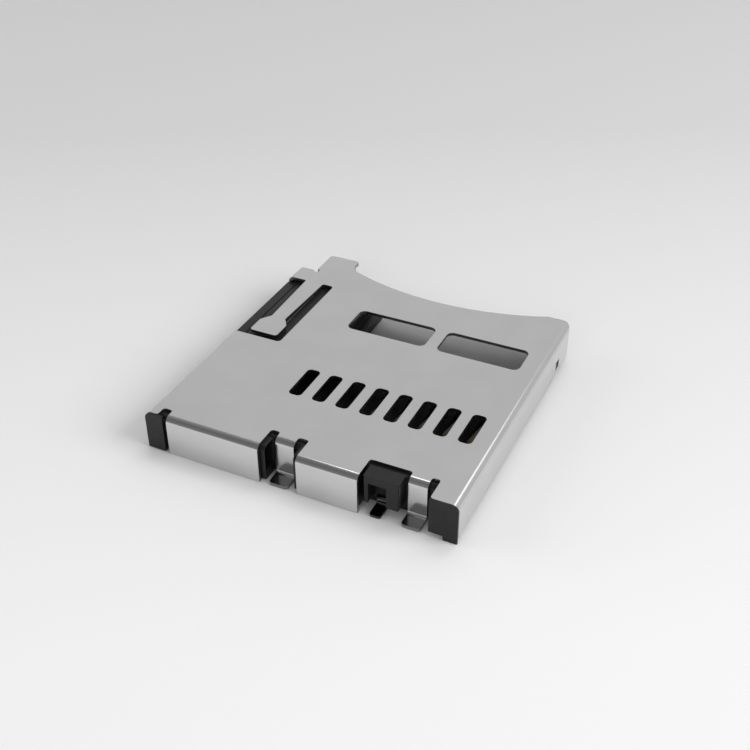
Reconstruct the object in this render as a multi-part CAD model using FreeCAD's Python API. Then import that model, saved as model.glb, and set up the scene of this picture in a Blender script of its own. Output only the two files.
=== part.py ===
import FreeCAD, Part
import math
import os

# Push-push memory card socket for a circuit board, sizes in millimetres.
# Working frame: X across the socket, Y from the rear face to the card mouth, Z up from the board.
# Every piece is moved by half the depth when it is exported, so the origin is the middle of the
# footprint, on the board.

V = FreeCAD.Vector

# Overall sizes and the folded sheet
WIDTH = 14.0
DEPTH = 15.09
HEIGHT = 1.85
SHEET = 0.15
BEND = 0.30
SIDE_LIFT = 0.25
SHELL_GAP = 0.05
HALF = WIDTH / 2
INNER = HALF - SHEET
ROOF = HEIGHT - SHEET
CUT_PAST = 1.0

# Front edge of the cover: tongue at the left, hollow for the finger, square corner at the right
FRONT_LEFT_Y = 13.42
FRONT_RIGHT_Y = 14.16
TONGUE_X = (-HALF + 1.0, -HALF + 2.58)
TONGUE_CORNER = 0.16
TONGUE_FLARE = (0.4, 0.35)
SCOOP_END_Y = FRONT_RIGHT_Y - 0.06
SCOOP_Y = SCOOP_END_Y - 0.95
SCOOP_MID_X = 0.6
SCOOP_RIGHT_X = HALF - 1.28
CORNER_LEFT = 0.25
CORNER_RIGHT = 0.5
NOTCH_RADIUS = 0.14

# Rear edge of the cover: two wall panels, two set-back solder tabs and the slots between them
PANELS_X = ((-HALF + 1.03, -1.62), (0.09, HALF - 4.20))
TABS_X = ((-1.22, -0.36), (HALF - 2.37, HALF - 1.55))
TAB_INSET = 0.72
FOOT_END_Y = 0.02
FOOT_CORNER = 0.16
SLOT_END_Y = 1.21
SLOT_CORNER = 0.12
POST_SLOT_X = (-HALF + 0.60, PANELS_X[0][0])
POST_SLOT_END_Y = 0.58
POST_LIP = 0.10

# Openings in the top of the cover
PITCH = 1.1
CONTACTS = 8
FIRST_CONTACT_X = -1.979
VENT_Y = (3.80, 5.56)
VENT_WIDTH = 0.54
VENT_CORNER = 0.2
WINDOW_Y = (9.342, 10.991)
WINDOWS_X = ((-2.313, 1.541), (2.136, HALF - 0.982))
WINDOW_CORNER = 0.3

# Leaf finger over the cam rod and the cut-out around it
LEAF_CUT_Y = (6.976, 12.341)
LEAF_CUT_RIGHT = -HALF + 2.489
LEAF_BAR_X = (-HALF + 0.98, -HALF + 1.92)
LEAF_NECK_X = (-HALF + 1.07, -HALF + 1.80)
LEAF_NECK_Y = 8.78
LEAF_PAD_X = (-HALF + 0.72, -HALF + 2.12)
LEAF_PAD_Y = (7.333, 8.30)
LEAF_CORNER = 0.16
LEAF_CUT_CORNER = 0.18
LEAF_WALL_Z = 0.95

# Snap lug of the base in the right wall of the cover
LUG_Y = (11.92, 12.45)
LUG_Z = (0.36, 0.88)
LUG_GAP = 0.06
LUG_RECESS = 0.02

# Levels and plan of the moulded base
BASE_LIFT = 0.05
JOIN = 0.10
FLOOR_Z = 0.45
RAIL_Z = 0.90
MECH_Z = ROOF - 0.14
BASE_HALF = INNER - SHELL_GAP
REAR_FACE_Y = SHEET + SHELL_GAP
REAR_WALL_Y = 0.95
STOP_Y = 1.50
STOP_LEFT = -HALF + 4.10
TAB_BACK_Y = TAB_INSET + SHEET + SHELL_GAP
BASE_FRONT_Y = 13.30
FLOOR_RIGHT = -HALF + 4.70
LEDGE_X = (-HALF + 2.60, -HALF + 4.20)
CHANNEL_LEFT = -HALF + 0.45
RIGHT_RAIL_X = HALF - 0.95
POST_LEFT_X = (-HALF, -HALF + 0.85)
POST_RIGHT_X = (HALF - 1.21, HALF)
POST_STEP_X = HALF - 0.61
POST_STEP_Z = 0.22
POST_DEPTH_Y = 1.20
POST_OVERLAP = 0.30
PANEL_BACK_X = ((-HALF + 0.85, -1.42), (-0.12, HALF - 4.30))
FRONT_PAD = 1.0
LEAD_IN = 0.5

# Switch block with its doorway
BLOCK_X = (HALF - 4.05, HALF - 2.54)
BLOCK_FACE_Y = 0.20
BLOCK_LEG_Z = 0.53
BLOCK_CORNER = 0.08
DOOR_X = (HALF - 3.84, HALF - 3.07)
DOOR_TOP_Z = HEIGHT - 0.35

# Contact bar and comb
BAR_Y = (6.60, 8.20)
COMB_Y = 3.60
COMB_FLOOR_Z = 0.20
COMB_OPEN_Y = 5.80
COMB_WIDTH = 0.62
CONTACT_WIDTH = 0.40
CONTACT_SHEET = 0.12
CONTACT_BEND = 0.16
CONTACT_TAIL_Y = 9.15
CONTACT_TAIL_ROOT = 0.30
CONTACT_LEVEL = 0.64
TIP_Y = 4.67
TIP_Z = RAIL_Z + 0.20
TIP_END_Y = 4.10
TIP_CURL = 0.30
INSERT_GAP = 0.01

# Card detect terminal
DETECT_WIDTH = 0.50
DETECT_X = HALF - 3.48
DETECT_RISER_Y = 0.82
DETECT_LEVEL = 0.40
DETECT_FOOT_Y = 0.04
DETECT_BEAM_Y = 1.75
DETECT_TIP = (2.60, 1.16)
DETECT_END = (2.95, 0.98)
DETECT_POCKET_Y = 3.20
FOOT_ROUND = 0.12

# Travel of the slider
TRAVEL = 4.0
LOCK_DEPTH = 3.4
RUN_GAP = 0.05

# Slider
SLIDER_Y = (REAR_WALL_Y + TRAVEL + 2 * RUN_GAP, 12.60)
SLIDER_X = (CHANNEL_LEFT + RUN_GAP, LEDGE_X[0] - RUN_GAP)
SLIDER_ARM_X = -HALF + 3.95
SLIDER_ARM_END_Y = 11.90
SLIDER_Z = FLOOR_Z + RUN_GAP
SLIDER_ARM_Z = RAIL_Z + RUN_GAP
ARM_CHAMFER = 0.35

# Cam rod and its track
WIRE = 0.22
WIRE_BEND = 0.16
ROD_X = -HALF + 1.64
ROD_Z = MECH_Z - 0.16
ROD_PIVOT_Y = 13.0
ROD_TIP_Y = 7.80
ROD_LEG_Z = ROD_Z - 0.38
ROD_SIDE = 0.62
ROD_GAP = 0.05
PIVOT_GAP = 0.03
TRACK_Z = ROD_LEG_Z - 0.09
TRACK_SHELF_Z = ROD_Z - 0.18
ISLAND_NOTCH = 0.28

# Eject spring
SPRING_OD = 0.80
SPRING_WIRE = 0.16
SPRING_TURNS = 12
SPRING_X = -HALF + 1.40
SPRING_Z = (SLIDER_Z + MECH_Z) / 2
SPRING_SIDES = 6
SPRING_STEPS = 12
SPRING_POCKET_Y = 7.20
SPRING_GAP = 0.05
SPRING_BOSS = (0.20, 0.50)

# Card latch leaf in the slider
LATCH_SHEET = 0.10
LATCH_Z = (SLIDER_ARM_Z + 0.09, MECH_Z - 0.12)
LATCH_Y = (8.60, 11.30)
LATCH_FREE_Y = 9.30
LATCH_X = SLIDER_ARM_X - 0.17
LATCH_NOSE = (10.50, LATCH_X + 0.36)
LATCH_RAMP = 0.50
LATCH_ANCHOR_X = LATCH_X - 0.53
LATCH_BEND = 0.08
LATCH_FLEX = 0.15


def box(x, y, z):
    """Block between two values on each axis."""
    return Part.makeBox(x[1] - x[0], y[1] - y[0], z[1] - z[0], V(x[0], y[0], z[0]))


def prism(points, z):
    """Upright prism over a plan outline given by its corner points."""
    corners = [V(x, y, z[0]) for x, y in points]
    face = Part.Face(Part.makePolygon(corners + corners[:1]))
    return face.extrude(V(0, 0, z[1] - z[0]))


def round_uprights(solid, radius, near=None):
    """Round the vertical edges, all of them or those within reach of the named plan points."""
    chosen = []
    for edge in solid.Edges:
        ends = [v.Point for v in edge.Vertexes]
        if len(ends) != 2 or abs(ends[0].z - ends[1].z) < edge.Length - 1e-6:
            continue
        if near is None or any(math.hypot(ends[0].x - x, ends[0].y - y) < 0.02 for x, y in near):
            chosen.append(edge)
    return solid.makeFillet(radius, chosen)


def rounded_box(x, y, z, radius):
    """Block with its four vertical edges rounded."""
    return round_uprights(box(x, y, z), radius)


def fuse(solids):
    """One clean solid from several that meet."""
    body = solids[0].fuse(solids[1:])
    return body.removeSplitter()


def strip_outline(points, bend, thickness, place):
    """Closed outline of sheet of one thickness along a chain of points with round bends.

    Args:
        points: centre line corners as pairs.
        bend: centre line radius of each bend.
        thickness: sheet thickness.
        place: function that turns a pair into a point of the working frame.

    Returns:
        A face of the sheet seen edge on.
    """
    chain = [FreeCAD.Vector(u, v, 0) for u, v in points]
    legs = [(b - a).normalize() for a, b in zip(chain, chain[1:])]
    normals = [V(-leg.y, leg.x, 0) for leg in legs]
    rows = []
    for side in (thickness / 2, -thickness / 2):
        stops = [chain[0] + normals[0] * side]
        arcs = []
        for i in range(1, len(chain) - 1):
            turn = legs[i - 1].getAngle(legs[i])
            reach = bend * math.tan(turn / 2)
            start = chain[i] - legs[i - 1] * reach
            end = chain[i] + legs[i] * reach
            inward = (legs[i] - legs[i - 1]).normalize()
            middle = chain[i] + inward * (bend / math.cos(turn / 2) - bend)
            across = (normals[i - 1] + normals[i]).normalize()
            trio = [start + normals[i - 1] * side, middle + across * side, end + normals[i] * side]
            arcs.append(trio)
            stops += [trio[0], trio[2]]
        stops.append(chain[-1] + normals[-1] * side)
        rows.append((stops, arcs))
    edges = []
    for stops, arcs in rows:
        for a, b in zip(stops[0::2], stops[1::2]):
            edges.append(Part.LineSegment(place(a.x, a.y), place(b.x, b.y)).toShape())
        for trio in arcs:
            edges.append(Part.Arc(*[place(p.x, p.y) for p in trio]).toShape())
    for end in (0, -1):
        a, b = rows[0][0][end], rows[1][0][end]
        edges.append(Part.LineSegment(place(a.x, a.y), place(b.x, b.y)).toShape())
    return Part.Face(Part.Wire(Part.__sortEdges__(edges)))


def folded_strip(points, bend, thickness, x):
    """Sheet folded along a chain of (y, z) points and as wide as the x pair."""
    face = strip_outline(points, bend, thickness, lambda y, z: V(x[0], y, z))
    return face.extrude(V(x[1] - x[0], 0, 0))


def contact_centres():
    """Middle of each contact across the socket."""
    return [FIRST_CONTACT_X + PITCH * i for i in range(CONTACTS)]


def cover_section():
    """Top and side walls of the cover as one folded section, drawn out along Y."""
    bend = BEND - SHEET / 2
    middle = HALF - SHEET / 2
    chain = [(-middle, SIDE_LIFT), (-middle, HEIGHT - SHEET / 2),
             (middle, HEIGHT - SHEET / 2), (middle, SIDE_LIFT)]
    face = strip_outline(chain, bend, SHEET, lambda x, z: V(x, POST_LIP, z))
    return face.extrude(V(0, DEPTH, 0))


def cover_plan():
    """Upright prism over the plan of the cover, with the tongue and the finger hollow."""
    flare_x = TONGUE_X[1] + TONGUE_FLARE[0]
    left = [V(-HALF, 0, 0), V(-HALF, FRONT_LEFT_Y, 0), V(TONGUE_X[0], FRONT_LEFT_Y, 0),
            V(TONGUE_X[0], DEPTH, 0), V(TONGUE_X[1], DEPTH, 0)]
    hollow_start = V(flare_x, SCOOP_END_Y, 0)
    hollow_end = V(SCOOP_RIGHT_X, SCOOP_END_Y, 0)
    flare_top = V(TONGUE_X[1], SCOOP_END_Y + TONGUE_FLARE[1] * 2, 0)
    flare_mid = V(TONGUE_X[1] + TONGUE_FLARE[0] * 0.25, SCOOP_END_Y + TONGUE_FLARE[1] * 0.75, 0)
    right = [hollow_end, V(SCOOP_RIGHT_X + FRONT_RIGHT_Y - SCOOP_END_Y, FRONT_RIGHT_Y, 0),
             V(HALF, FRONT_RIGHT_Y, 0), V(HALF, 0, 0)]
    edges = [Part.LineSegment(a, b).toShape() for a, b in zip(left, left[1:] + [flare_top])]
    edges.append(Part.Arc(flare_top, flare_mid, hollow_start).toShape())
    edges.append(Part.Arc(hollow_start, V(SCOOP_MID_X, SCOOP_Y, 0), hollow_end).toShape())
    edges += [Part.LineSegment(a, b).toShape() for a, b in zip(right, right[1:] + left[:1])]
    plan = Part.Face(Part.Wire(Part.__sortEdges__(edges))).extrude(V(0, 0, HEIGHT * 2))
    plan = round_uprights(plan, TONGUE_CORNER, [(x, DEPTH) for x in TONGUE_X])
    plan = round_uprights(plan, CORNER_LEFT, [(-HALF, FRONT_LEFT_Y)])
    return round_uprights(plan, CORNER_RIGHT, [(HALF, FRONT_RIGHT_Y)])


def leaf_cutter():
    """Cut-out around the leaf finger, with the finger itself left standing."""
    z = (LEAF_WALL_Z, HEIGHT + SHEET)
    hole = box((-HALF - SHEET, LEAF_CUT_RIGHT), LEAF_CUT_Y, z)
    hole = round_uprights(hole, LEAF_CUT_CORNER, [(LEAF_CUT_RIGHT, y) for y in LEAF_CUT_Y])
    outline = [(LEAF_BAR_X[0], LEAF_CUT_Y[1]), (LEAF_NECK_X[0], LEAF_NECK_Y),
               (LEAF_PAD_X[0], LEAF_PAD_Y[1]), (LEAF_PAD_X[0], LEAF_PAD_Y[0]),
               (LEAF_PAD_X[1], LEAF_PAD_Y[0]), (LEAF_PAD_X[1], LEAF_PAD_Y[1]),
               (LEAF_NECK_X[1], LEAF_NECK_Y), (LEAF_BAR_X[1], LEAF_CUT_Y[1])]
    leaf = prism(outline, z)
    leaf = round_uprights(leaf, LEAF_CORNER, [(x, y) for x in LEAF_PAD_X for y in LEAF_PAD_Y])
    hole = hole.cut(leaf)
    roots = [(x, LEAF_CUT_Y[1]) for x in LEAF_BAR_X]
    return round_uprights(hole, LEAF_CORNER / 2, roots)


def rear_slots():
    """Cutters for the rear edge: relief slots, the switch block's bay and the bend zone."""
    z = (ROOF - BEND, HEIGHT + SHEET)
    rear = -SLOT_END_Y
    flat_end = BEND
    tab_flat = TAB_INSET + BEND
    post_right = POST_RIGHT_X[0]
    cutters = [box((POST_SLOT_X[1], post_right), (rear, flat_end), z)]
    slots = ((POST_SLOT_X, POST_SLOT_END_Y),
             ((PANELS_X[0][1], TABS_X[0][0]), SLOT_END_Y),
             ((TABS_X[0][1], PANELS_X[1][0]), SLOT_END_Y),
             ((PANELS_X[1][1], TABS_X[1][0]), SLOT_END_Y),
             ((TABS_X[1][1], post_right), SLOT_END_Y))
    for x, end in slots:
        cutters.append(rounded_box(x, (rear, end), z, SLOT_CORNER))
    for x in TABS_X:
        cutters.append(box((x[0] - SLOT_CORNER, x[1] + SLOT_CORNER), (rear, tab_flat), z))
    return cutters


def side_windows():
    """Window in the right wall that the snap lug of the base fills."""
    y = (LUG_Y[0] - LUG_GAP, LUG_Y[1] + LUG_GAP)
    z = (LUG_Z[0] - LUG_GAP, LUG_Z[1] + LUG_GAP)
    return box((INNER - SHEET, HALF + SHEET), y, z)


def shell_cover():
    """Folded sheet cover: top, side walls, rear panels, solder tabs and leaf finger."""
    cover = cover_section().common(cover_plan())
    cutters = rear_slots() + [leaf_cutter(), side_windows()]
    top = (ROOF - SHEET, HEIGHT + SHEET)
    for x in contact_centres():
        vent = (x - VENT_WIDTH / 2, x + VENT_WIDTH / 2)
        cutters.append(rounded_box(vent, VENT_Y, top, VENT_CORNER))
    for x in WINDOWS_X:
        cutters.append(rounded_box(x, WINDOW_Y, top, WINDOW_CORNER))
    notch = Part.makeCylinder(NOTCH_RADIUS, SHEET * 3, V(TONGUE_X[0], FRONT_LEFT_Y, ROOF - SHEET))
    cutters.append(notch)
    cover = cover.cut(cutters)
    for corner in ((POST_SLOT_X[0], POST_LIP), (POST_RIGHT_X[0], POST_LIP)):
        cover = round_uprights(cover, SLOT_CORNER, [corner])
    mid = HEIGHT - SHEET / 2
    bend = BEND - SHEET / 2
    folds = []
    for x in PANELS_X:
        chain = [(BEND + SHEET, mid), (SHEET / 2, mid), (SHEET / 2, 0)]
        folds.append(folded_strip(chain, bend, SHEET, x))
    for x in TABS_X:
        riser = TAB_INSET + SHEET / 2
        chain = [(TAB_INSET + BEND + SHEET, mid), (riser, mid), (riser, SHEET / 2),
                 (FOOT_END_Y, SHEET / 2)]
        tab = folded_strip(chain, bend, SHEET, x)
        folds.append(round_uprights(tab, FOOT_CORNER, [(end, FOOT_END_Y) for end in x]))
    return fuse([cover] + folds)


def corner_post(x, z_bottom, depth):
    """Rear corner post: a full height lip behind the end of the sheet and a body under it."""
    outward = 1 if x[1] > 0 else -1
    outer = outward * HALF
    inner = x[0] if outward > 0 else x[1]
    lip = box((min(outer, inner), max(outer, inner)), (0, POST_LIP), (z_bottom, HEIGHT))
    edge = [e for e in lip.Edges if e.Length < POST_LIP + 1e-6
            and abs(e.CenterOfMass.x - outer) < 1e-6 and abs(e.CenterOfMass.z - HEIGHT) < 1e-6]
    lip = lip.makeFillet(BEND, edge)
    side = outward * BASE_HALF
    core = box((min(side, inner), max(side, inner)), (POST_LIP / 2, depth),
               (z_bottom, ROOF - BEND + SHEET))
    return lip.fuse(core)


def bend_relieved_wall(x, y):
    """Wall up to the roof whose rear top edge is cut back to clear the inside of a bend."""
    relief = BEND - SHEET
    profile = [V(x[0], y[0], BASE_LIFT), V(x[0], y[1], BASE_LIFT), V(x[0], y[1], ROOF),
               V(x[0], y[0] + relief, ROOF), V(x[0], y[0], ROOF - relief)]
    face = Part.Face(Part.makePolygon(profile + profile[:1]))
    return face.extrude(V(x[1] - x[0], 0, 0))


def rear_wall():
    """Rear wall of the base, stepped behind the panels, the tabs and the switch block."""
    left, right = PANEL_BACK_X
    return [bend_relieved_wall((left[0] - POST_OVERLAP, left[1]), (REAR_FACE_Y, REAR_WALL_Y)),
            bend_relieved_wall(right, (REAR_FACE_Y, STOP_Y)),
            bend_relieved_wall((STOP_LEFT, POST_RIGHT_X[0] + POST_OVERLAP), (TAB_BACK_Y, STOP_Y))]


def switch_block():
    """Block at the rear with a doorway for the detect terminal."""
    block = box(BLOCK_X, (BLOCK_FACE_Y, STOP_Y), (BLOCK_LEG_Z, HEIGHT))
    block = round_uprights(block, BLOCK_CORNER, [(x, BLOCK_FACE_Y) for x in BLOCK_X])
    above_sheet = box((BLOCK_X[0] - CUT_PAST, BLOCK_X[1] + CUT_PAST),
                      (TAB_BACK_Y, STOP_Y + CUT_PAST), (ROOF, HEIGHT + CUT_PAST))
    return block.cut(above_sheet)


def contact_path():
    """Centre line of a contact from the solder tail, through the bar, to the curled tip."""
    half = CONTACT_SHEET / 2
    foot = BAR_Y[1] + CONTACT_TAIL_ROOT
    return [(CONTACT_TAIL_Y, half), (foot, half), (BAR_Y[1] - CONTACT_TAIL_ROOT, CONTACT_LEVEL),
            (BAR_Y[0], CONTACT_LEVEL), (TIP_Y, TIP_Z), (TIP_END_Y, TIP_Z - TIP_CURL)]


def contact(x, gap=0.0):
    """Stamped spring contact at one place across the socket, thickened by the gap all over."""
    width = (x - CONTACT_WIDTH / 2 - gap, x + CONTACT_WIDTH / 2 + gap)
    return folded_strip(contact_path(), CONTACT_BEND, CONTACT_SHEET + 2 * gap, width)


def detect_path():
    """Centre line of the detect terminal: foot, riser, run through the wall and spring finger."""
    half = CONTACT_SHEET / 2
    return [(DETECT_FOOT_Y, half), (DETECT_RISER_Y, half), (DETECT_RISER_Y, DETECT_LEVEL),
            (DETECT_BEAM_Y, DETECT_LEVEL), DETECT_TIP, DETECT_END]


def detect_contact(gap=0.0):
    """Stamped card detect terminal, thickened by the gap all over."""
    width = (DETECT_X - DETECT_WIDTH / 2 - gap, DETECT_X + DETECT_WIDTH / 2 + gap)
    terminal = folded_strip(detect_path(), CONTACT_BEND, CONTACT_SHEET + 2 * gap, width)
    return round_uprights(terminal, FOOT_ROUND, [(x, DETECT_FOOT_Y) for x in width])


def comb():
    """Floor under the card with the bar that grips the contacts."""
    x = (LEDGE_X[1], BASE_HALF)
    floor = box(x, (TAB_BACK_Y, STOP_Y), (BASE_LIFT, FLOOR_Z))
    return floor.fuse(box(x, (STOP_Y, BAR_Y[1]), (BASE_LIFT, RAIL_Z)))


def comb_slots():
    """Cutters for the contacts' slots and seats and for the detect finger's pocket."""
    cutters = []
    for centre in contact_centres():
        slot = (centre - COMB_WIDTH / 2, centre + COMB_WIDTH / 2)
        cutters.append(box(slot, (COMB_Y, BAR_Y[0]), (COMB_FLOOR_Z, HEIGHT)))
        cutters.append(box(slot, (COMB_Y, COMB_OPEN_Y), (0, HEIGHT)))
        cutters.append(contact(centre, INSERT_GAP))
        reach = CONTACT_WIDTH / 2 + INSERT_GAP
        notch = (BAR_Y[1] - CONTACT_TAIL_ROOT, CONTACT_TAIL_Y + INSERT_GAP)
        cutters.append(box((centre - reach, centre + reach), notch, (0, CONTACT_LEVEL)))
    pocket = (DETECT_X - COMB_WIDTH / 2, DETECT_X + COMB_WIDTH / 2)
    cutters.append(box(pocket, (STOP_Y, DETECT_POCKET_Y), (COMB_FLOOR_Z, HEIGHT)))
    return cutters


def mechanism_bay():
    """Left part of the base: floor, outer wall, ledge under the card and front block."""
    z_low = (BASE_LIFT, FLOOR_Z)
    left = -BASE_HALF
    front = (SLIDER_Y[1] + RUN_GAP, BASE_FRONT_Y)
    cut_y = (LEAF_CUT_Y[0] + SHELL_GAP, LEAF_CUT_Y[1] - SHELL_GAP)
    parts = [box((left, FLOOR_RIGHT), (REAR_FACE_Y, BASE_FRONT_Y), z_low),
             box((left, CHANNEL_LEFT), (REAR_FACE_Y, BASE_FRONT_Y), (BASE_LIFT, MECH_Z)),
             box((-HALF, CHANNEL_LEFT), cut_y, (LEAF_WALL_Z + SHELL_GAP, MECH_Z)),
             box(LEDGE_X, (REAR_WALL_Y, BASE_FRONT_Y), (BASE_LIFT, RAIL_Z)),
             box((left, SLIDER_X[1] + RUN_GAP), front, (BASE_LIFT, MECH_Z))]
    hole = Part.makeCylinder(WIRE / 2 + PIVOT_GAP, HEIGHT,
                             V(ROD_X, ROD_PIVOT_Y, ROD_LEG_Z - ROD_GAP))
    half = WIRE / 2 + ROD_GAP
    channel = box((ROD_X - half - ROD_GAP, ROD_X + half), (front[0] - CUT_PAST, ROD_PIVOT_Y),
                  (TRACK_SHELF_Z, HEIGHT))
    bridge = Part.makeCylinder(half, HEIGHT, V(ROD_X, ROD_PIVOT_Y, TRACK_SHELF_Z))
    boss = Part.makeCylinder(SPRING_BOSS[0], SPRING_BOSS[1] + RUN_GAP,
                             V(SPRING_X, REAR_WALL_Y - RUN_GAP, SPRING_Z), V(0, 1, 0))
    return fuse(parts).cut([hole, channel, bridge, lead_in(LEDGE_X)]).fuse(boss)


def lead_in(x):
    """Cutter that slopes the mouth end of a rail, so that the card slides up onto it."""
    profile = [V(x[0], BASE_FRONT_Y - LEAD_IN, RAIL_Z), V(x[0], BASE_FRONT_Y, RAIL_Z - LEAD_IN / 2),
               V(x[0], BASE_FRONT_Y, RAIL_Z)]
    face = Part.Face(Part.makePolygon(profile + profile[:1]))
    return face.extrude(V(x[1] - x[0], 0, 0))


def right_rail():
    """Rail under the card's right edge, with the snap lug for the cover."""
    x = (RIGHT_RAIL_X, BASE_HALF)
    rail = box(x, (POST_DEPTH_Y, BASE_FRONT_Y), (BASE_LIFT, RAIL_Z)).cut(lead_in(x))
    face = HALF - LUG_RECESS
    root = BASE_HALF - JOIN
    profile = [V(root, LUG_Y[0], LUG_Z[0]), V(face, LUG_Y[0], LUG_Z[0]),
               V(face, LUG_Y[0], (LUG_Z[0] + LUG_Z[1]) / 2), V(root, LUG_Y[0], LUG_Z[1])]
    lug = Part.Face(Part.makePolygon(profile + profile[:1])).extrude(V(0, LUG_Y[1] - LUG_Y[0], 0))
    return rail.fuse(lug)


def base_housing():
    """Moulded base that carries the contacts, the slider and the cover."""
    pad_y = (BASE_FRONT_Y - FRONT_PAD, BASE_FRONT_Y)
    pads = [box(x, pad_y, (0, BASE_LIFT))
            for x in ((-BASE_HALF, FRONT_PAD - BASE_HALF), (RIGHT_RAIL_X, BASE_HALF))]
    below = (-CUT_PAST, POST_STEP_Z)
    step = box((POST_RIGHT_X[0] - CUT_PAST, POST_STEP_X), (-CUT_PAST, POST_DEPTH_Y), below)
    posts = [corner_post(POST_LEFT_X, BASE_LIFT, REAR_WALL_Y),
             corner_post(POST_RIGHT_X, 0.0, POST_DEPTH_Y).cut(step)]
    base = fuse([mechanism_bay(), comb(), right_rail(), switch_block()] + posts + rear_wall() + pads)
    door = box(DOOR_X, (-CUT_PAST, TAB_BACK_Y), (0, DOOR_TOP_Z))
    slot = (DETECT_X - DETECT_WIDTH / 2 - RUN_GAP, DETECT_X + DETECT_WIDTH / 2 + RUN_GAP)
    passage = box(slot, (-CUT_PAST, STOP_Y + RUN_GAP), (0, DETECT_LEVEL))
    under_block = box((PANELS_X[1][1], TABS_X[1][0]), (-CUT_PAST, TAB_BACK_Y), (-CUT_PAST, BLOCK_LEG_Z))
    return base.cut([door, passage, under_block, detect_contact(INSERT_GAP)] + comb_slots())


def wire_bend(corner, toward):
    """Quarter bend of the rod's wire between a leg below a corner and the shank towards it."""
    ring = Part.makeTorus(WIRE_BEND, WIRE / 2, corner + V(0, toward * WIRE_BEND, -WIRE_BEND), V(1, 0, 0))
    quarter = (corner.y, corner.y + toward * WIRE_BEND)
    y = (min(quarter) - (WIRE if toward > 0 else 0), max(quarter) + (WIRE if toward < 0 else 0))
    return ring.common(box((ROD_X - WIRE, ROD_X + WIRE), y, (corner.z - WIRE_BEND, corner.z + WIRE)))


def cam_rod():
    """Bent wire: pivot leg in the base, long shank and a tip leg in the cam track."""
    radius = WIRE / 2
    leg = ROD_Z - WIRE_BEND - ROD_LEG_Z
    parts = []
    for y, toward in ((ROD_PIVOT_Y, -1), (ROD_TIP_Y, 1)):
        parts.append(Part.makeCylinder(radius, leg, V(ROD_X, y, ROD_LEG_Z)))
        parts.append(wire_bend(V(ROD_X, y, ROD_Z), toward))
    shank = ROD_PIVOT_Y - ROD_TIP_Y - 2 * WIRE_BEND
    parts.append(Part.makeCylinder(radius, shank, V(ROD_X, ROD_TIP_Y + WIRE_BEND, ROD_Z), V(0, 1, 0)))
    return fuse(parts)


def cam_track():
    """Cutter for the track: a shelf for the shank and a deeper ring around the heart."""
    half = WIRE / 2 + ROD_GAP
    x = (ROD_X - ROD_SIDE - half, ROD_X + half)
    y = (ROD_TIP_Y - half, ROD_TIP_Y + TRAVEL + half)
    shelf = box(x, (y[0], SLIDER_Y[1] + CUT_PAST), (TRACK_SHELF_Z, HEIGHT))
    ring = rounded_box(x, y, (TRACK_Z, ROD_Z), WIRE / 2)
    middle = ROD_X - ROD_SIDE / 2
    wide = ROD_SIDE / 2 - half
    low = ROD_TIP_Y + half + ROD_GAP
    high = ROD_TIP_Y + LOCK_DEPTH + half
    outline = [(middle, low), (middle + wide, low + 2 * wide), (middle + wide, high),
               (middle, high - ISLAND_NOTCH), (middle - wide, high), (middle - wide, low + 2 * wide)]
    heart = prism(outline, (SLIDER_Z, TRACK_SHELF_Z))
    return shelf.fuse(ring.cut(heart))


def ejector_slider():
    """Moulded slider with the arm behind the card's shoulder and the heart-shaped cam track."""
    body = box(SLIDER_X, SLIDER_Y, (SLIDER_Z, MECH_Z))
    root = SLIDER_X[1] - JOIN
    y0, y1 = SLIDER_Y[0], SLIDER_ARM_END_Y
    outline = [(root, y0), (SLIDER_ARM_X - ARM_CHAMFER, y0), (SLIDER_ARM_X, y0 + ARM_CHAMFER),
               (SLIDER_ARM_X, y1 - ARM_CHAMFER), (SLIDER_ARM_X - ARM_CHAMFER, y1), (root, y1)]
    arm = prism(outline, (SLIDER_ARM_Z, MECH_Z))
    bore = Part.makeCylinder(SPRING_OD / 2 + SPRING_GAP, SPRING_POCKET_Y - y0 + CUT_PAST,
                             V(SPRING_X, y0 - CUT_PAST, SPRING_Z), V(0, 1, 0))
    relief = box((LATCH_X - LATCH_SHEET / 2 - LATCH_FLEX, SLIDER_ARM_X + CUT_PAST),
                 (LATCH_FREE_Y, LATCH_Y[1] + LATCH_FLEX), (LATCH_Z[0] - RUN_GAP, MECH_Z + CUT_PAST))
    return fuse([body, arm]).cut([bore, cam_track(), relief, latch_strip(INSERT_GAP)])


def latch_strip(gap=0.0):
    """Leaf that holds the card's side: an anchor in the slider, a beam and a nose."""
    y0, y1 = LATCH_Y
    nose_y, nose_x = LATCH_NOSE
    chain = [(LATCH_ANCHOR_X, y0), (LATCH_X, y0), (LATCH_X, nose_y - LATCH_RAMP),
             (nose_x, nose_y), (LATCH_X, nose_y + LATCH_RAMP), (LATCH_X, y1)]
    z0 = LATCH_Z[0] - gap
    face = strip_outline(chain, LATCH_BEND, LATCH_SHEET + 2 * gap, lambda x, y: V(x, y, z0))
    return face.extrude(V(0, 0, LATCH_Z[1] - LATCH_Z[0] + 2 * gap))


def wire_section(turn, rise):
    """Section of the spring's wire at an angle along the coil."""
    out = V(math.cos(turn), 0, math.sin(turn))
    radius = SPRING_WIRE / 2
    middle = V(SPRING_X, REAR_WALL_Y + radius + rise, SPRING_Z) + out * ((SPRING_OD - SPRING_WIRE) / 2)
    corners = []
    for i in range(SPRING_SIDES):
        angle = 2 * math.pi * i / SPRING_SIDES
        corners.append(middle + out * (radius * math.cos(angle)) + V(0, radius * math.sin(angle), 0))
    return Part.makePolygon(corners + corners[:1])


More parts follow.
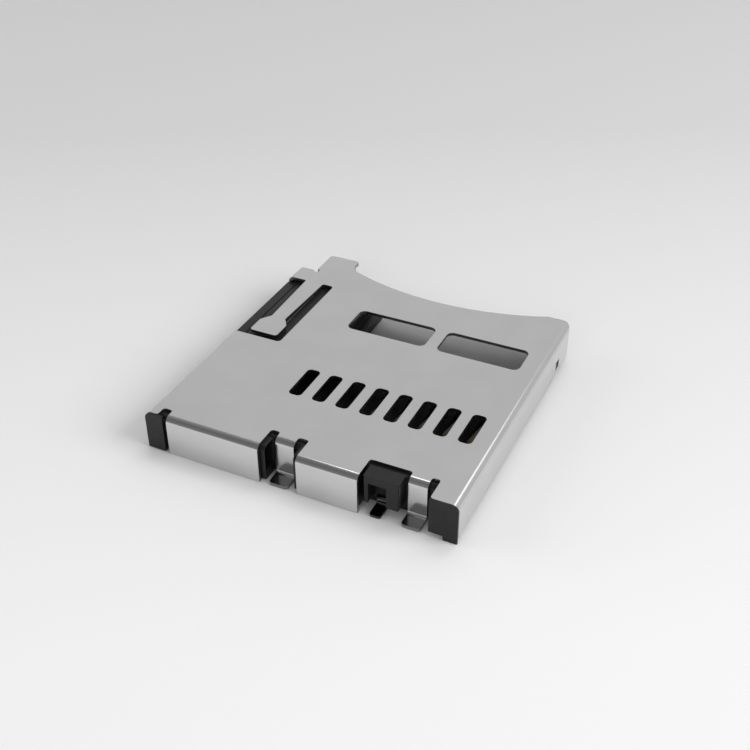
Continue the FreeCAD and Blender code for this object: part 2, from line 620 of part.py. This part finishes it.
def eject_spring():
    """Coil spring from the rear wall to the end of the slider's pocket, with closed end turns."""
    length = SPRING_POCKET_Y - REAR_WALL_Y - SPRING_WIRE
    closed = SPRING_WIRE + SPRING_GAP / 2
    pitch = (length - 2 * closed) / (SPRING_TURNS - 2)
    sections = []
    for step in range(SPRING_TURNS * SPRING_STEPS + 1):
        turn = step / SPRING_STEPS
        ends = min(turn, 1) + max(turn - SPRING_TURNS + 1, 0)
        rise = closed * ends + pitch * (turn - ends)
        sections.append(wire_section(2 * math.pi * turn, rise))
    return Part.makeLoft(sections, True, True)


def export(name, solid):
    """Write one piece with the origin at the middle of the footprint."""
    placed = solid.copy()
    placed.translate(V(0, -DEPTH / 2, 0))
    placed.exportStep("parts/" + name + ".step")
    print(name, len(placed.Solids), placed.isValid(), round(placed.Volume, 4), placed.BoundBox)


def main():
    """Build and export every piece of the socket."""
    os.makedirs("parts", exist_ok=True)
    export("shell_cover", shell_cover())
    export("base_housing", base_housing())
    export("ejector_slider", ejector_slider())
    export("eject_spring", eject_spring())
    export("cam_rod", cam_rod())
    export("card_latch", latch_strip())
    export("detect_contact", detect_contact())
    for number, x in enumerate(contact_centres(), 1):
        export("contact_%d" % number, contact(x))


main()
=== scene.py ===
"""Push-push memory card socket on a pale table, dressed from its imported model."""

import logging
import math
from dataclasses import dataclass
from enum import Enum
from typing import Protocol

import bmesh
import bpy
from mathutils import Matrix, Vector


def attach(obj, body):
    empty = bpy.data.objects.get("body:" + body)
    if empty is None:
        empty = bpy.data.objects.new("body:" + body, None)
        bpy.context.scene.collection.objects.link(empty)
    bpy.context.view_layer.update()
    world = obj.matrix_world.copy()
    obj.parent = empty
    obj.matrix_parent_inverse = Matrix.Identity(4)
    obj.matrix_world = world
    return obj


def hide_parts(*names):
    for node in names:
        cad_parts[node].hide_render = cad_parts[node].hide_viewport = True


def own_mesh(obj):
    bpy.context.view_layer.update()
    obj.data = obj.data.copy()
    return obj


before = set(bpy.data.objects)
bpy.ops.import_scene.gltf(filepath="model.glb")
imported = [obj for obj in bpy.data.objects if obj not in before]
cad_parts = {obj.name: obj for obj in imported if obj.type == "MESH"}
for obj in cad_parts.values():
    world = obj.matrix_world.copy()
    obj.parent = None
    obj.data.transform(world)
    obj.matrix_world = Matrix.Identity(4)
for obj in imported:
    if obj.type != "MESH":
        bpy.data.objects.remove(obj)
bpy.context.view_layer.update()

LOG = logging.getLogger("socket")
MM = 0.001
# Face attribute that is 1 on cut and rounded edges
RIM = "rim"
UNIT = (0.0, 1.0)
# Parts of the noise's range that mottle and grain use
MOTTLE_SPAN = (0.35, 0.65)
GRAIN_SPAN = (0.3, 0.7)
METAL = 1.0
PLASTIC = 0.0
# Width in millimetres below which a face of the sheet metal is a punched edge
SHEET_CUT = 0.2

Colour = tuple[float, float, float]
Place = tuple[float, float, float]
Span = tuple[float, float]


class Grain(Enum):
    """Direction in which a surface's fine marks run."""

    NONE = (1.0, 1.0, 1.0)
    ACROSS = (0.08, 1.0, 1.0)
    ALONG = (1.0, 0.08, 1.0)


class Body(Enum):
    """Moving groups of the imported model."""

    SOCKET = "socket"
    SLIDER = "slider"
    ROD = "rod"


class Shader:
    """One node material, built from its Principled shader back to the coordinates."""

    def __init__(self, name: str) -> None:
        """Make an empty material with a Principled shader.

        Args:
            name: material name.
        """
        self.material = bpy.data.materials.new(name)
        self.material.use_nodes = True
        self.tree = self.material.node_tree
        self.surface = self.tree.nodes["Principled BSDF"]
        self.place = self.tree.nodes.new("ShaderNodeTexCoord").outputs["Object"]

    def node(self, kind: str, links: dict | None = None, values: dict | None = None,
             **options: object) -> bpy.types.Node:
        """Add a node.

        Args:
            kind: node type.
            links: input name to the socket that feeds it.
            values: input name to its fixed value.
            options: node properties.

        Returns:
            The new node.
        """
        made = self.tree.nodes.new(kind)
        for option, value in options.items():
            setattr(made, option, value)
        for name, value in (values or {}).items():
            made.inputs[name].default_value = value
        for name, socket in (links or {}).items():
            self.tree.links.new(socket, made.inputs[name])
        return made

    def noise(self, size: float, stretch: Place, detail: float = 2.0) -> bpy.types.NodeSocket:
        """Noise of a real size on the piece's own coordinates.

        Args:
            size: width of one patch, in metres.
            stretch: share of the frequency on each axis.
            detail: octaves.

        Returns:
            The noise value socket.
        """
        scale = tuple(share / size for share in stretch)
        mapping = self.node("ShaderNodeMapping", {"Vector": self.place}, {"Scale": scale})
        texture = self.node("ShaderNodeTexNoise", {"Vector": mapping.outputs["Vector"]},
                            {"Scale": 1.0, "Detail": detail})
        return texture.outputs["Fac"]

    def remap(self, value: bpy.types.NodeSocket, source: Span, target: Span = UNIT
              ) -> bpy.types.NodeSocket:
        """Stretch a value from one range to another.

        Args:
            value: socket to read.
            source: range that it has.
            target: range that it gets.

        Returns:
            The stretched value.
        """
        made = self.node("ShaderNodeMapRange", {"Value": value},
                         {"From Min": source[0], "From Max": source[1],
                          "To Min": target[0], "To Max": target[1]})
        return made.outputs["Result"]

    def mix(self, factor: bpy.types.NodeSocket, first: object, second: object
            ) -> bpy.types.NodeSocket:
        """Mix two colours, each a plain colour or a socket.

        Args:
            factor: share of the second.
            first: colour at 0.
            second: colour at 1.

        Returns:
            The mixed colour socket.
        """
        made = self.node("ShaderNodeMix", {}, {}, data_type="RGBA")
        self.tree.links.new(factor, made.inputs["Factor"])
        for name, value in (("A", first), ("B", second)):
            socket = [s for s in made.inputs if s.name == name and s.type == "RGBA"][0]
            if isinstance(value, tuple):
                socket.default_value = (*value, 1.0)
            else:
                self.tree.links.new(value, socket)
        return [s for s in made.outputs if s.type == "RGBA"][0]

    def feed(self, name: str, socket: bpy.types.NodeSocket) -> None:
        """Feed one input of the Principled shader."""
        self.tree.links.new(socket, self.surface.inputs[name])


@dataclass(frozen=True)
class Finish:
    """Colour, gloss and fine relief of one material.

    colour and shade are mottled together. rim and rim_gloss belong to cut and rounded edges; on the
    cover and the detect terminal the darker rim colour is painted shade.
    The gold tip colour, darkened nearly to black as painted shade, is used below its zone along the
    piece.
    """

    name: str
    slot: str
    colour: Colour
    shade: Colour
    rim: Colour
    metallic: float
    gloss: Span
    rim_gloss: float
    grain_size: float
    grain: Grain
    relief: float
    mottle_size: float = 2.0 * MM
    mottle_detail: float = 3.0
    specular: float = 0.5
    shaded_gold_tip: Colour | None = None
    shaded_gold_tip_zone: Span = UNIT

    def material(self) -> bpy.types.Material:
        """Build the node material.

        Returns:
            The material of this finish.
        """
        shader = Shader(self.name)
        shader.surface.inputs["Metallic"].default_value = self.metallic
        shader.surface.inputs["Specular IOR Level"].default_value = self.specular
        mottle = shader.noise(self.mottle_size, Grain.NONE.value, self.mottle_detail)
        colour = shader.mix(shader.remap(mottle, MOTTLE_SPAN), self.colour, self.shade)
        # Painted shade: the gold at the tips is darkened nearly to black, standing in for the shade
        # inside the contact slots.
        if self.shaded_gold_tip is not None:
            along = shader.node("ShaderNodeSeparateXYZ", {"Vector": shader.place}).outputs["Y"]
            colour = shader.mix(shader.remap(along, self.shaded_gold_tip_zone), self.shaded_gold_tip, colour)
        rim = shader.node("ShaderNodeAttribute", attribute_name=RIM).outputs["Fac"]
        shader.feed("Base Color", shader.mix(rim, colour, self.rim))
        grain = shader.noise(self.grain_size, self.grain.value)
        gloss = shader.remap(grain, GRAIN_SPAN, self.gloss)
        rim_gloss = shader.node("ShaderNodeMix", {}, {}, data_type="FLOAT")
        shader.tree.links.new(rim, rim_gloss.inputs["Factor"])
        shader.tree.links.new(gloss, rim_gloss.inputs["A"])
        rim_gloss.inputs["B"].default_value = self.rim_gloss
        shader.feed("Roughness", rim_gloss.outputs["Result"])
        bump = shader.node("ShaderNodeBump", {"Height": grain},
                           {"Strength": 1.0, "Distance": self.relief})
        shader.feed("Normal", bump.outputs["Normal"])
        return shader.material


class SocketFinishes:
    """Every finish of the socket."""

    # Painted shade: the cover's cut and rounded edges get a dark rim colour, standing in for the dark
    # surroundings that they reflect.
    cover = Finish(
        name="bright_cover_sheet", slot="cover_sheet", metallic=METAL,
        colour=(0.66, 0.66, 0.66), shade=(0.635, 0.635, 0.638), rim=(0.28, 0.28, 0.28),
        gloss=(0.13, 0.19), rim_gloss=0.34,
        grain_size=0.03 * MM, grain=Grain.ALONG, relief=0.0004 * MM)
    base = Finish(
        name="black_base_moulding", slot="base_plastic", metallic=PLASTIC, specular=0.27,
        colour=(0.010, 0.010, 0.011), shade=(0.014, 0.014, 0.015), rim=(0.018, 0.018, 0.019),
        gloss=(0.26, 0.40), rim_gloss=0.36,
        grain_size=0.05 * MM, grain=Grain.NONE, relief=0.0012 * MM)
    slider = Finish(
        name="black_slider_moulding", slot="slider_plastic", metallic=PLASTIC, specular=0.24,
        colour=(0.016, 0.016, 0.017), shade=(0.022, 0.022, 0.023), rim=(0.028, 0.028, 0.029),
        gloss=(0.30, 0.44), rim_gloss=0.36,
        grain_size=0.06 * MM, grain=Grain.ALONG, relief=0.0012 * MM)
    spring = Finish(
        name="drawn_spring_wire", slot="spring_steel", metallic=METAL,
        colour=(0.52, 0.50, 0.48), shade=(0.44, 0.42, 0.40), rim=(0.6, 0.6, 0.6),
        gloss=(0.22, 0.34), rim_gloss=0.30,
        grain_size=0.02 * MM, grain=Grain.ALONG, relief=0.0004 * MM)
    # Painted shade: the rod's steel is darkened so that it shows no highlight in the shaded recess
    # under the latch leaf.
    rod = Finish(
        name="polished_rod_wire_painted_dark", slot="rod_steel", metallic=METAL,
        colour=(0.30, 0.295, 0.29), shade=(0.26, 0.255, 0.25), rim=(0.3, 0.3, 0.3),
        gloss=(0.26, 0.36), rim_gloss=0.34,
        grain_size=0.02 * MM, grain=Grain.ALONG, relief=0.0004 * MM)
    latch = Finish(
        name="rolled_latch_leaf", slot="latch_steel", metallic=METAL,
        colour=(0.64, 0.64, 0.63), shade=(0.58, 0.58, 0.57), rim=(0.5, 0.5, 0.5),
        gloss=(0.18, 0.30), rim_gloss=0.34,
        grain_size=0.02 * MM, grain=Grain.ALONG, relief=0.0004 * MM)
    # Painted shade: the detect terminal is near-black metal with a darker rim, standing in for the
    # shade of the doorway that it sits in.
    detect = Finish(
        name="plated_detect_terminal_painted_dark", slot="detect_plating", metallic=METAL,
        colour=(0.12, 0.12, 0.12), shade=(0.10, 0.10, 0.105), rim=(0.08, 0.08, 0.08),
        gloss=(0.12, 0.20), rim_gloss=0.30,
        grain_size=0.03 * MM, grain=Grain.ALONG, relief=0.0004 * MM)
    # Painted shade: the contacts' gold tips are darkened nearly to black, for the shade inside the
    # slots.
    contact = Finish(
        name="plated_spring_contact", slot="contact_plating", metallic=METAL,
        colour=(0.70, 0.70, 0.69), shade=(0.64, 0.64, 0.64), rim=(0.13, 0.105, 0.065),
        gloss=(0.30, 0.42), rim_gloss=0.40,
        grain_size=0.03 * MM, grain=Grain.ALONG, relief=0.0004 * MM,
        shaded_gold_tip=(0.085, 0.06, 0.028), shaded_gold_tip_zone=(-1.6 * MM, -0.9 * MM))


class MeshEdit(Protocol):
    """A small change to a copied mesh, before its edges are rounded."""

    def apply(self, bm: bmesh.types.BMesh) -> None:
        """Change the mesh, which is in millimetres."""


@dataclass(frozen=True)
class SlotGrowth:
    """Growth of the cover's contact slots to the photographed size, in millimetres."""

    first: float = -1.979
    pitch: float = 1.1
    count: int = 8
    middle: float = -2.865
    reach: Span = (0.28, 0.90)
    growth: Span = (0.03, 0.10)

    def apply(self, bm: bmesh.types.BMesh) -> None:
        """Move the outline of every slot outwards.

        Args:
            bm: the cover's mesh, in millimetres.
        """
        for vert in bm.verts:
            y = vert.co.y - self.middle
            number = round((vert.co.x - self.first) / self.pitch)
            x = vert.co.x - self.first - number * self.pitch
            if 0 <= number < self.count and abs(x) < self.reach[0] and abs(y) < self.reach[1]:
                vert.co.x += math.copysign(self.growth[0], x)
                vert.co.y += math.copysign(self.growth[1], y)


@dataclass(frozen=True)
class LugFit:
    """Snap lug and its window in the right wall, drawn in to the photographed size.

    Lengths are in millimetres, middle and reach along y and z.
    """

    middle: Span = (4.64, 0.62)
    reach: Span = (0.40, 0.36)
    wall: float = 6.7
    scale: float = 0.64
    lift: float = 0.07

    def apply(self, bm: bmesh.types.BMesh) -> None:
        """Draw the corners of the lug or of the window towards their middle.

        Args:
            bm: the cover's or the base's mesh, in millimetres.
        """
        for vert in bm.verts:
            y = vert.co.y - self.middle[0]
            z = vert.co.z - self.middle[1]
            if vert.co.x > self.wall and abs(y) < self.reach[0] and abs(z) < self.reach[1]:
                vert.co.y = self.middle[0] + self.scale * y
                vert.co.z = self.middle[1] + self.scale * z + self.lift


@dataclass(frozen=True)
class EndPocket:
    """Hollow in the end of the base's rear wall beside the first solder tab, in millimetres."""

    wall: float = -1.42
    sill: float = 0.42
    rim_width: float = 0.05
    depth: float = 0.8
    squareness: float = 0.99
    tolerance: float = 0.01
    rear_of: float = -6.0

    def end_face(self, bm: bmesh.types.BMesh) -> bmesh.types.BMFace:
        """Find the wall's end, its upper part once it is split.

        Args:
            bm: the base's mesh, in millimetres.

        Returns:
            The highest face of the wall's end.
        """
        faces = [f for f in bm.faces if f.normal.x > self.squareness
                 and abs(f.calc_center_median().x - self.wall) < self.tolerance
                 and f.calc_center_median().y < self.rear_of]
        return max(faces, key=lambda f: f.calc_center_median().z)

    def apply(self, bm: bmesh.types.BMesh) -> None:
        """Hollow the wall's end above its sill.

        Args:
            bm: the base's mesh, in millimetres.
        """
        end = self.end_face(bm)
        bmesh.ops.bisect_plane(bm, geom=[end, *end.edges, *end.verts],
                               plane_co=(0.0, 0.0, self.sill), plane_no=(0.0, 0.0, 1.0))
        end = self.end_face(bm)
        bmesh.ops.inset_region(bm, faces=[end], thickness=self.rim_width)
        back = bmesh.ops.extrude_discrete_faces(bm, faces=[end])["faces"][0]
        bmesh.ops.translate(bm, vec=(-self.depth, 0.0, 0.0), verts=back.verts)


@dataclass(frozen=True)
class EdgeRounding:
    """Rounding of the sharp edges of a copied solid, in millimetres and degrees.

    sharp is the least angle of a rounded edge, smooth the widest angle shaded round, flat the angle
    below which CAD facets are joined. A face narrower than cut between sharp edges is a punched one.
    """

    width: float
    segments: int = 2
    sharp: float = 40.0
    smooth: float = 50.0
    flat: float = 0.5
    merge: float = 0.0008
    wide_share: float = 0.33
    cut: float = 0.0
    edits: tuple[MeshEdit, ...] = ()

    def is_cut(self, face: bmesh.types.BMFace, limit: float) -> bool:
        """Tell a punched edge of sheet metal from its rolled faces.

        Args:
            face: face to test.
            limit: angle of a sharp edge, in radians.

        Returns:
            True for a narrow face between two sharp edges.
        """
        sharp = sum(e.calc_length() for e in face.edges if e.calc_face_angle(0.0) > limit)
        return sharp > 0.0 and 2.0 * face.calc_area() < self.cut * sharp

    def normals(self, bm: bmesh.types.BMesh) -> list[Vector]:
        """Corner normals that keep wide faces flat and carry bends and rounded edges round.

        Args:
            bm: the finished mesh.

        Returns:
            One normal for each face corner, in face order.
        """
        limit = math.cos(math.radians(self.smooth))
        areas = {face: face.calc_area() for face in bm.faces}
        found = []
        for face in bm.faces:
            for loop in face.loops:
                near = [f for f in loop.vert.link_faces if f.normal.dot(face.normal) > limit]
                widest = max(areas[f] for f in near)
                wide = [f for f in near if areas[f] >= self.wide_share * widest]
                total = sum((f.normal * areas[f] for f in wide), Vector())
                found.append(total.normalized())
        return found

    def piece(self, node: str, name: str) -> bpy.types.Object:
        """Copy a CAD node, merge it and round its sharp edges.

        Args:
            node: CAD node to copy.
            name: name of the new piece.

        Returns:
            The new object, with its place in its mesh.
        """
        bm = bmesh.new()
        bm.from_mesh(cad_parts[node].data)
        bmesh.ops.scale(bm, vec=(1 / MM,) * 3, verts=bm.verts)
        bmesh.ops.remove_doubles(bm, verts=bm.verts, dist=self.merge)
        bmesh.ops.dissolve_limit(bm, angle_limit=math.radians(self.flat), verts=bm.verts,
                                 edges=bm.edges, use_dissolve_boundaries=False)
        for edit in self.edits:
            edit.apply(bm)
        rim = bm.faces.layers.float.new(RIM)
        limit = math.radians(self.sharp)
        for face in bm.faces:
            face[rim] = float(self.is_cut(face, limit))
        if self.width:
            edges = [e for e in bm.edges if e.is_manifold and e.calc_face_angle(0.0) > limit]
            made = bmesh.ops.bevel(bm, geom=edges, offset=self.width, offset_type="OFFSET",
                                   segments=self.segments, profile=0.5, affect="EDGES",
                                   material=-1, clamp_overlap=False, loop_slide=True)
            for face in made["faces"]:
                face[rim] = 1.0
        bmesh.ops.recalc_face_normals(bm, faces=bm.faces)
        normals = self.normals(bm)
        bmesh.ops.scale(bm, vec=(MM,) * 3, verts=bm.verts)
        for face in bm.faces:
            face.smooth = True
        mesh = bpy.data.meshes.new(name)
        bm.to_mesh(mesh)
        bm.free()
        mesh.normals_split_custom_set(normals)
        made = bpy.data.objects.new(name, mesh)
        bpy.context.scene.collection.objects.link(made)
        return made


@dataclass(frozen=True)
class DressedSolid:
    """A CAD node shown as a softened copy with its finish."""

    node: str
    name: str
    body: Body
    finish: Finish
    rounding: EdgeRounding

    def build(self) -> bpy.types.Object:
        """Make the copy, give it its finish and hang it on its body.

        Returns:
            The finished piece.
        """
        piece = self.rounding.piece(self.node, self.name)
        material = bpy.data.materials.get(self.finish.name) or self.finish.material()
        piece.data.materials.append(material)
        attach(piece, self.body.value)
        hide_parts(self.node)
        LOG.info("%s: %d faces", self.name, len(piece.data.polygons))
        return piece


class CoverAssembly:
    """The folded cover."""

    edges = EdgeRounding(0.012, cut=SHEET_CUT, edits=(SlotGrowth(), LugFit()))

    def build(self) -> None:
        """Dress the cover."""
        DressedSolid("shell_cover", "cover_sheet", Body.SOCKET, SocketFinishes.cover,
                     self.edges).build()


class BaseAssembly:
    """The moulded base with its terminals."""

    contacts: int = 8
    base_edges = EdgeRounding(0.018, edits=(EndPocket(), LugFit()))
    detect_edges = EdgeRounding(0.012, cut=SHEET_CUT)
    contact_edges = EdgeRounding(0.010, cut=SHEET_CUT)

    def build(self) -> None:
        """Dress the base, the detect terminal and the contacts."""
        DressedSolid("base_housing", "base_moulding", Body.SOCKET, SocketFinishes.base,
                     self.base_edges).build()
        DressedSolid("detect_contact", "detect_terminal", Body.SOCKET, SocketFinishes.detect,
                     self.detect_edges).build()
        for number in range(1, self.contacts + 1):
            DressedSolid(f"contact_{number}", f"contact_finger_{number}", Body.SOCKET,
                         SocketFinishes.contact, self.contact_edges).build()


class EjectMechanism:
    """The slider with its latch, the spring behind it and the rod that steers it."""

    spring_end: Place = (-5.6 * MM, -6.595 * MM, 1.03 * MM)
    slider_edges = EdgeRounding(0.015)
    latch_edges = EdgeRounding(0.008)
    round_wire = EdgeRounding(0.0)

    def build(self) -> None:
        """Dress the moving pieces and give the spring a mesh of its own."""
        DressedSolid("ejector_slider", "slider_moulding", Body.SLIDER, SocketFinishes.slider,
                     self.slider_edges).build()
        DressedSolid("card_latch", "latch_leaf", Body.SLIDER, SocketFinishes.latch,
                     self.latch_edges).build()
        spring = DressedSolid("eject_spring", "spring_coil", Body.SOCKET, SocketFinishes.spring,
                              self.round_wire).build()
        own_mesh(spring)
        DressedSolid("cam_rod", "rod_wire", Body.ROD, SocketFinishes.rod,
                     self.round_wire).build()


def facing(place: Place, target: Place) -> Matrix:
    """Placement of a camera or a lamp that looks at a point.

    Args:
        place: where it stands, in metres.
        target: point that it looks at, in metres.

    Returns:
        Its world matrix, without roll.
    """
    turn = (Vector(target) - Vector(place)).to_track_quat("-Z", "Y")
    return Matrix.Translation(place) @ turn.to_matrix().to_4x4()


@dataclass(frozen=True)
class Softbox:
    """Soft rectangular lamp that faces the socket.

    place and size are in metres, radiance is the brightness of its face, and mirrored says whether the
    sheet metal mirrors it.
    """

    name: str
    place: Place
    size: Span
    radiance: float
    mirrored: bool = True

    def hang(self) -> None:
        """Add the lamp to the scene."""
        data = bpy.data.lights.new(self.name, "AREA")
        data.shape = "RECTANGLE"
        data.size, data.size_y = self.size
        data.energy = self.radiance * math.pi * self.size[0] * self.size[1]
        made = bpy.data.objects.new(self.name, data)
        made.visible_glossy = self.mirrored
        bpy.context.scene.collection.objects.link(made)
        made.matrix_world = facing(self.place, (0.0, 0.0, 0.0))


@dataclass(frozen=True)
class Studio:
    """Camera at the photograph's angle, pale floor, soft lamps and room light.

    Lengths are in metres, roll is in degrees. room lists the light's level against the cosine towards
    dark_side.
    """

    camera_at: Place = (17.442 * MM, -36.684 * MM, 29.591 * MM)
    look_at: Place = (1.33 * MM, -2.795 * MM, 3.17 * MM)
    roll: float = -0.212
    lens: float = 53.459
    sensor: float = 36.0
    clip: Span = (MM, 10.0)
    floor_size: float = 4.0
    floor_gap: float = 0.005 * MM
    backdrop: Colour = (0.60, 0.60, 0.605)
    # Painted light: the floor colour runs from pale in front to grey behind, standing in for the lamps'
    # falloff across the table.
    floor_near: Colour = (0.785, 0.785, 0.785)
    floor_far: Colour = (0.61, 0.61, 0.615)
    floor_far_side: Place = (-0.45, 0.90, 0.0)
    floor_painted_falloff: Span = (-0.015, 0.03)
    # Painted shade: the floor under the socket, seen through its openings, gets the darker colour
    # below, faded out at its edge.
    floor_painted_shade: Colour = (0.36, 0.36, 0.36)
    floor_roughness: float = 0.7
    floor_specular: float = 0.2
    painted_shade_reach: Span = (6.6 * MM, 7.3 * MM)
    painted_shade_fade: float = MM
    dark_side: Place = (-0.45, -0.55, 0.70)
    room_level: float = 1.32
    room: tuple[Span, ...] = ((0.30, 0.50), (0.55, 0.26), (0.80, 0.20), (1.0, 0.13))
    softboxes: tuple[Softbox, ...] = (
        Softbox("overhead_softbox", (-0.022, 0.12, 0.275), (0.19, 0.08), 1.9),
        Softbox("back_softbox", (0.06, 0.18, 0.235), (0.12, 0.12), 1.0),
        Softbox("right_softbox", (0.168, 0.01, 0.11), (0.12, 0.12), 6.8, mirrored=False),
        Softbox("front_softbox", (0.02, -0.20, 0.10), (0.14, 0.14), 2.1, mirrored=False),
        Softbox("left_softbox", (-0.18, -0.05, 0.082), (0.12, 0.12), 2.3, mirrored=False),
    )

    def camera(self) -> None:
        """Place the camera at the photograph's angle."""
        data = bpy.data.cameras.new("camera")
        data.lens = self.lens
        data.sensor_width = self.sensor
        data.clip_start, data.clip_end = self.clip
        made = bpy.data.objects.new("camera", data)
        bpy.context.scene.collection.objects.link(made)
        roll = Matrix.Rotation(math.radians(self.roll), 4, "Z")
        made.matrix_world = facing(self.camera_at, self.look_at) @ roll
        bpy.context.scene.camera = made

    def painted_shade_mask(self, shader: Shader) -> bpy.types.NodeSocket:
        """Mask of the painted shade on the floor under the socket.

        Args:
            shader: the floor's material.

        Returns:
            1 under the socket, 0 outside it.
        """
        size = shader.node("ShaderNodeVectorMath", {0: shader.place}, operation="ABSOLUTE")
        axes = shader.node("ShaderNodeSeparateXYZ", {"Vector": size.outputs["Vector"]}).outputs
        inside = [shader.remap(axes[axis], (reach, reach - self.painted_shade_fade))
                  for axis, reach in zip("XY", self.painted_shade_reach)]
        both = shader.node("ShaderNodeMath", {0: inside[0], 1: inside[1]}, operation="MULTIPLY")
        return both.outputs["Value"]

    def floor(self) -> None:
        """Lay a large floor, paler in front and greyer behind as painted light, and darker under the
        socket as painted shade.
        """
        bm = bmesh.new()
        bmesh.ops.create_grid(bm, x_segments=1, y_segments=1, size=self.floor_size / 2)
        mesh = bpy.data.meshes.new("floor")
        bmesh.ops.translate(bm, vec=(0.0, 0.0, -self.floor_gap), verts=bm.verts)
        bm.to_mesh(mesh)
        bm.free()
        made = bpy.data.objects.new("floor", mesh)
        bpy.context.scene.collection.objects.link(made)
        shader = Shader("pale_floor")
        shader.surface.inputs["Roughness"].default_value = self.floor_roughness
        shader.surface.inputs["Specular IOR Level"].default_value = self.floor_specular
        far = Vector(self.floor_far_side).normalized()
        along = shader.node("ShaderNodeVectorMath", {0: shader.place}, {1: far},
                            operation="DOT_PRODUCT")
        painted_falloff = shader.remap(along.outputs["Value"], self.floor_painted_falloff)
        # Painted light: paler in front, greyer behind.
        open_floor = shader.mix(painted_falloff, self.floor_near, self.floor_far)
        # Painted shade: darker under the socket.
        shader.feed("Base Color", shader.mix(self.painted_shade_mask(shader), open_floor, self.floor_painted_shade))
        made.data.materials.append(shader.material)

    def world(self) -> None:
        """Fill the room with light that falls off towards the dark side, over a plain backdrop."""
        made = bpy.data.worlds.new("studio")
        made.use_nodes = True
        bpy.context.scene.world = made
        tree = made.node_tree
        background = tree.nodes["Background"]
        place = tree.nodes.new("ShaderNodeTexCoord")
        dot = tree.nodes.new("ShaderNodeVectorMath")
        dot.operation = "DOT_PRODUCT"
        dot.inputs[1].default_value = Vector(self.dark_side).normalized()
        tree.links.new(place.outputs["Generated"], dot.inputs[0])
        level = tree.nodes.new("ShaderNodeValToRGB")
        ramp = level.color_ramp
        while len(ramp.elements) < len(self.room):
            ramp.elements.new(0.5)  # placed with the others below
        for element, (position, grey) in zip(ramp.elements, self.room):
            element.position = position
            element.color = (grey, grey, grey, 1.0)
        tree.links.new(dot.outputs["Value"], level.inputs["Fac"])
        tree.links.new(level.outputs["Color"], background.inputs["Color"])
        background.inputs["Strength"].default_value = self.room_level
        seen = tree.nodes.new("ShaderNodeBackground")
        seen.inputs["Color"].default_value = (*self.backdrop, 1.0)
        path = tree.nodes.new("ShaderNodeLightPath")
        choice = tree.nodes.new("ShaderNodeMixShader")
        tree.links.new(path.outputs["Is Camera Ray"], choice.inputs["Fac"])
        tree.links.new(background.outputs["Background"], choice.inputs[1])
        tree.links.new(seen.outputs["Background"], choice.inputs[2])
        tree.links.new(choice.outputs["Shader"], tree.nodes["World Output"].inputs["Surface"])

    def build(self) -> None:
        """Set up the camera, the floor, the lamps and the room."""
        self.camera()
        self.floor()
        for softbox in self.softboxes:
            softbox.hang()
        self.world()
        bpy.context.scene.view_settings.view_transform = "Standard"


def main() -> None:
    """Build every piece in order, then the studio."""
    logging.basicConfig(level=logging.INFO, format="%(message)s")
    for assembly in (CoverAssembly(), BaseAssembly(), EjectMechanism()):
        assembly.build()
    Studio().build()


if __name__ == "__main__":
    main()
